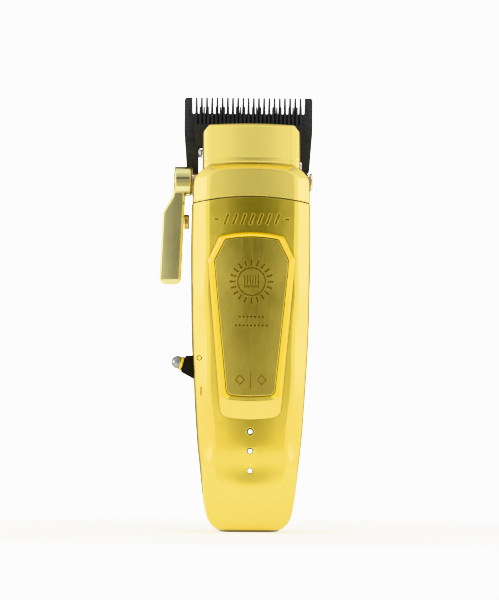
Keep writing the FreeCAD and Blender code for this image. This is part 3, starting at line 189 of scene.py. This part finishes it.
def black_steel(name, tint=0.031, roughness=0.34, flow=(1, 1, 24)):
    """Black coated blade steel, ground along one way, with bare metal just showing at worn edges."""
    g = Graph(name)
    g.fix(Metallic=0.15, Specular_IOR_Level=0.6)
    lines = g.noise(150, 3.0, 0.6, flow)
    colour = g.blend(g.spread(lines, 0, 1), (0.8 * tint, 0.85 * tint, 1.1 * tint),
                     (1.2 * tint, 1.25 * tint, 1.5 * tint))
    worn = g.spread(g.edges(0.18 * MM, True), 0.6, 0.0, 0.3, 0.6)
    chipped = g.spread(g.noise(700, 3.0), 0.1, 1.0, 0.42, 0.62)
    colour = g.blend(g.math("MULTIPLY", worn, chipped), colour, CHIPPED_EDGE)
    g.join(colour, g.shader.inputs["Base Color"])
    g.join(g.spread(lines, roughness - 0.06, roughness + 0.12), g.shader.inputs["Roughness"])
    g.bump(lines, 0.08, 0.02 * MM, 0.15 * MM)
    return g.material


def bare_steel(name, tint=(0.56, 0.56, 0.57), roughness=0.28, stretch=(1, 1, 1)):
    g = Graph(name)
    g.fix(Metallic=1.0)
    lines = g.noise(700, 3.0, 0.6, stretch)
    colour = g.blend(g.spread(lines, 0, 1), tint, tuple(0.74 * c for c in tint))
    g.join(colour, g.shader.inputs["Base Color"])
    g.join(g.spread(lines, roughness - 0.07, roughness + 0.12), g.shader.inputs["Roughness"])
    g.bump(lines, 0.06, 0.02 * MM)
    return g.material


def chrome(name):
    g = Graph(name)
    g.fix(Metallic=1.0)
    haze = g.noise(900, 3.0)
    colour = g.blend(g.spread(haze, 0, 1), (0.29, 0.285, 0.285), (0.25, 0.25, 0.26))
    g.join(colour, g.shader.inputs["Base Color"])
    g.join(g.spread(haze, 0.05, 0.12), g.shader.inputs["Roughness"])
    return g.material


def plastic(name, colour, roughness=0.42, grain=0.12, scale=3200, gloss=0.45):
    """Moulded plastic with a fine spark-eroded grain."""
    g = Graph(name)
    g.fix(Specular_IOR_Level=gloss)
    texture = g.noise(scale, 2.0)
    tone = g.spread(g.noise(70, 3.0), 0, 1)
    paler = tuple(min(1.0, 1.3 * c + 0.004) for c in colour)
    g.join(g.blend(tone, colour, paler), g.shader.inputs["Base Color"])
    g.join(g.spread(texture, roughness - 0.05, roughness + 0.09), g.shader.inputs["Roughness"])
    g.bump(texture, grain, 0.03 * MM)
    return g.material


def light_lens(name):
    """Milky light pipe that glows."""
    g = Graph(name)
    g.fix(Roughness=0.16, Emission_Strength=0.9, Coat_Weight=0.6, Coat_Roughness=0.06)
    cloud = g.spread(g.noise(900, 2.0), 0, 1)
    g.join(g.blend(cloud, (0.86, 0.97, 1.0), (0.95, 1.0, 1.0)), g.shader.inputs["Base Color"])
    g.join(g.blend(cloud, (0.80, 0.97, 1.0), (0.92, 1.0, 1.0)), g.shader.inputs["Emission Color"])
    return g.material


# shade sets how far the painted corner shade reaches on each finish; on the shoulder it spreads out from the
# hood's foot
SATIN = gold("gold_satin", (0.80, 0.635, 0.125), 0.155)
SHOULDER = gold("gold_shoulder", (0.81, 0.665, 0.185), 0.17, shade=2.4 * MM, edge=0.9 * MM)
HOOD = gold("gold_hood", (0.84, 0.69, 0.20), 0.19, shade=1.2 * MM, edge=0.7 * MM)
LEVER_GOLD = gold("gold_lever", (0.65, 0.60, 0.30), 0.19, edge=0.4 * MM)
END_GOLD = gold("gold_end_cap", (1.0, 0.96, 0.80), 0.20)
BEZEL = bezel("gold_bezel")
POLISHED = gold("gold_polished", (0.95, 0.72, 0.04), 0.12, grain=0.01)
INLAY = gold("gold_inlay", (0.76, 0.62, 0.16), 0.165, grain=0.03, brushed=(1, 1, 0.06), wear_share=0.1,
             shade=1.0 * MM, edge=0.06 * MM)
BRASS = gold("brass", (0.52, 0.38, 0.10), 0.20)
PLATE = gold("gold_plate", (0.60, 0.51, 0.18), 0.34, grain=0.08, brushed=(0.06, 1, 1))
BLADE = black_steel("black_blade_steel")
CUTTER = black_steel("black_cutter_steel", 0.026, 0.36)
STEEL = bare_steel("bare_steel")
GROUND_STEEL = bare_steel("ground_steel", (0.52, 0.52, 0.53), 0.32, (1, 1, 24))
SPRING_WIRE = bare_steel("spring_wire", (0.66, 0.66, 0.67), 0.16)
DARK_STEEL = bare_steel("dark_screw_steel", (0.10, 0.10, 0.105), 0.33)
GOLD_SCREW = gold("gold_screw", (0.84, 0.66, 0.18), 0.22)
CHROME = chrome("chrome")
BLACK = plastic("black_plastic", (0.018, 0.018, 0.019), 0.44)
RUBBER = plastic("toggle_rubber", (0.008, 0.008, 0.009), 0.56, 0.2, 2400, 0.22)
RING_GREY = plastic("light_ring", (0.20, 0.18, 0.14), 0.40)
NYLON = plastic("nylon", (0.83, 0.80, 0.66), 0.38, 0.05)
LENS = light_lens("lens_glow")
LEAD_RED = plastic("lead_insulation", (0.42, 0.02, 0.015), 0.4, 0.05)
BOARD_GREEN = plastic("board_mask", (0.012, 0.13, 0.055), 0.3, 0.08, 1200)
SLEEVE_BLUE = plastic("battery_sleeve", (0.03, 0.12, 0.36), 0.28, 0.04)
COPPER = bare_steel("copper", (0.80, 0.42, 0.26), 0.25)
BRONZE = bare_steel("bronze", (0.62, 0.44, 0.22), 0.32)

FINISHES = {
    "front_shell": SATIN, "back_shell": SATIN, "shoulder_collar": SHOULDER, "head_cap": HOOD,
    "seam_seal": BLACK,
    "taper_lever": LEVER_GOLD, "panel_frame": BEZEL, "panel_inlay": INLAY, "rating_plate": PLATE,
    "shaft_end_cap": END_GOLD, "detent_stud": BRASS, "lever_screw": GOLD_SCREW, "toggle_collar": POLISHED,
    "shell_screws": DARK_STEEL, "collar_screws": DARK_STEEL, "blade_screws": STEEL,
    "fixed_blade": BLADE, "moving_cutter": CUTTER, "blade_bracket": GROUND_STEEL,
    "tension_spring": SPRING_WIRE,
    "lever_shaft": STEEL, "eccentric_discs": STEEL, "motor_shaft": STEEL, "crank_cam": STEEL,
    "motor_bearings": STEEL, "motor_screws": STEEL, "board_screws": STEEL, "guide_rivets": STEEL,
    "toggle_pin": STEEL, "battery_tabs": STEEL, "motor_can": GROUND_STEEL, "crank_roller": BRONZE,
    "lever_bushes": BRONZE, "board_sockets": NYLON, "base_plug": BLACK, "charge_jack": BLACK,
    "inner_chassis": BLACK, "head_frame": BLACK, "cutter_guide": BLACK, "drive_yoke": BLACK,
    "motor_end_bell": BLACK, "switch_housing": BLACK, "toggle_paddle": RUBBER, "light_grommets": RING_GREY,
    "rotor_core": DARK_STEEL, "motor_magnets": DARK_STEEL, "commutator": COPPER,
    "charge_contacts": GOLD_SCREW,
    "jack_pin": GOLD_SCREW, "switch_terminals": GOLD_SCREW, "toggle_ball": CHROME, "battery_lights": LENS,
    "battery_cell": SLEEVE_BLUE, "control_board": BOARD_GREEN, "board_chips": BLACK, "led_chips": NYLON,
    "motor_leads": LEAD_RED, "jack_leads": LEAD_RED,
}


# ---------------------------------------------------------------- pieces of the frame
def dress_frame():
    for name, obj in NODES.items():
        obj.data.materials.clear()
        obj.data.materials.append(FINISHES[name])


# ---------------------------------------------------------------- studio
CAMERA_DISTANCE = 2.6
CAMERA_YAW = math.radians(1.5)
CAMERA_ROLL = math.radians(0.45)
PICTURE_HEIGHT = 600 * 0.37 * MM       # what the picture spans at the clipper
BACKDROP = 2.6                         # radiance of the white that the camera sees


def place_camera():
    data = bpy.data.cameras.new("camera")
    data.sensor_fit = "VERTICAL"
    data.sensor_height = 36
    data.sensor_width = 36
    data.lens = 36 * CAMERA_DISTANCE / PICTURE_HEIGHT
    data.clip_end = 50
    camera = bpy.data.objects.new("camera", data)
    bpy.context.scene.collection.objects.link(camera)
    aim = Vector((-0.2 * MM, 0, 85.7 * MM))
    offset = Vector((math.sin(-CAMERA_YAW), -math.cos(CAMERA_YAW), 0)) * CAMERA_DISTANCE
    turn = Matrix.Rotation(-CAMERA_YAW, 4, "Z") @ Matrix.Rotation(math.pi / 2, 4, "X")
    camera.matrix_world = Matrix.Translation(aim + offset) @ turn @ Matrix.Rotation(CAMERA_ROLL, 4, "Z")
    bpy.context.scene.camera = camera


# radiance of the tent: the slot straight ahead and above and below that, then the walls near it and far off
SLOT_DIM, SLOT_WIDE = 0.03, 0.78
SLOT_SHIFT = 0.035                           # centres the slot on what the yawed front mirrors
WALL_NEAR, WALL_FAR, WALL_LOW = 1.4, 2.0, 1.9
REAR_DIM = 0.32
FLOOR_RADIUS = 0.155
FLOOR_GLOW, FLOOR_RIM_GLOW = 0.55, 0.85      # added light of the floor at the clipper and at its rim
WARM_LOW = (1.0, 0.91, 0.66, 1.0)            # tint of the light from below the horizon
REAR_TINT = (1.0, 0.94, 0.84, 1.0)


def studio_world():
    """White tent: bright walls at both sides, a dim slot in front, a dimmer rear, and a lit top."""
    world = bpy.data.worlds.new("studio")
    bpy.context.scene.world = world
    world.use_nodes = True
    nodes, links = world.node_tree.nodes, world.node_tree.links
    background = nodes["Background"]
    coords = nodes.new("ShaderNodeTexCoord")
    split = nodes.new("ShaderNodeSeparateXYZ")
    links.new(coords.outputs["Generated"], split.inputs[0])

    def plug(socket, value):
        if isinstance(value, (int, float)):
            socket.default_value = value
        else:
            links.new(value, socket)

    def calc(operation, first, second=0.0):
        node = nodes.new("ShaderNodeMath")
        node.operation = operation
        plug(node.inputs[0], first)
        plug(node.inputs[1], second)
        return node.outputs[0]

    def step(value, start, end, low=0.0, high=1.0):
        """Smooth step from low at start to high at end."""
        node = nodes.new("ShaderNodeMapRange")
        node.interpolation_type = "SMOOTHSTEP"
        for name, number in (("From Min", start), ("From Max", end), ("To Min", low), ("To Max", high)):
            node.inputs[name].default_value = number
        plug(node.inputs["Value"], value)
        return node.outputs["Result"]

    def mix(factor, first, second):
        node = nodes.new("ShaderNodeMix")
        plug(node.inputs[0], factor)
        plug(node.inputs[2], first)
        plug(node.inputs[3], second)
        return node.outputs[0]

    x, back, height = split.outputs
    side = calc("ABSOLUTE", calc("ADD", x, -SLOT_SHIFT))
    off_slot = calc("MAXIMUM", step(height, 0.04, 0.13), step(height, -0.02, -0.075, 0.0, 0.8))
    off_band = calc("MAXIMUM", step(height, 0.30, 0.19), step(height, 0.50, 0.66))
    off_slot = calc("MULTIPLY", off_slot, off_band)
    slot = calc("ADD", calc("MULTIPLY", off_slot, SLOT_WIDE), SLOT_DIM)
    slot = calc("ADD", slot, step(height, 0.80, 0.98, 0.0, 0.5))
    wall = calc("ADD", step(side, 0.80, 0.97, 0.0, WALL_FAR), WALL_NEAR)
    wall = mix(step(height, -0.12, 0.0), WALL_LOW, wall)
    level = mix(step(side, 0.02, 0.27), slot, wall)
    level = calc("MULTIPLY", level, step(back, 0.25, 0.80, 1.0, REAR_DIM))
    warm = nodes.new("ShaderNodeMix")
    warm.data_type = "RGBA"
    links.new(step(height, -0.02, -0.20), warm.inputs[0])
    warm.inputs[6].default_value = (1.0, 1.0, 1.0, 1.0)
    warm.inputs[7].default_value = WARM_LOW
    rear = nodes.new("ShaderNodeMix")
    rear.data_type = "RGBA"
    links.new(step(back, 0.25, 0.7), rear.inputs[0])
    links.new(warm.outputs[2], rear.inputs[6])
    rear.inputs[7].default_value = REAR_TINT
    links.new(rear.outputs[2], background.inputs["Color"])
    links.new(level, background.inputs["Strength"])

    white = nodes.new("ShaderNodeBackground")
    white.inputs["Color"].default_value = (1, 1, 1, 1)
    white.inputs["Strength"].default_value = BACKDROP
    rays = nodes.new("ShaderNodeLightPath")
    choose = nodes.new("ShaderNodeMixShader")
    links.new(rays.outputs["Is Camera Ray"], choose.inputs[0])
    links.new(background.outputs[0], choose.inputs[1])
    links.new(white.outputs[0], choose.inputs[2])
    links.new(choose.outputs[0], nodes["World Output"].inputs["Surface"])
    bpy.context.scene.view_settings.view_transform = "Khronos PBR Neutral"


def plain_floor():
    mesh = bpy.data.meshes.new("floor")
    form = bmesh.new()
    bmesh.ops.create_circle(form, cap_ends=True, segments=96, radius=FLOOR_RADIUS)
    form.to_mesh(mesh)
    form.free()
    floor = bpy.data.objects.new("floor", mesh)
    bpy.context.scene.collection.objects.link(floor)
    g = Graph("pale_floor")
    g.fix(Roughness=0.9, Specular_IOR_Level=0.1, Emission_Color=(1, 1, 1, 1))
    g.join(g.spread(g.from_centre(), FLOOR_GLOW, FLOOR_RIM_GLOW, 0.03, FLOOR_RADIUS),
           g.shader.inputs["Emission Strength"])
    speckle = g.spread(g.noise(9, 3.0), 0, 1)
    g.join(g.blend(speckle, (0.90, 0.90, 0.89), (0.93, 0.93, 0.92)), g.shader.inputs["Base Color"])
    mesh.materials.append(g.material)


dress_frame()
place_camera()
studio_world()
plain_floor()
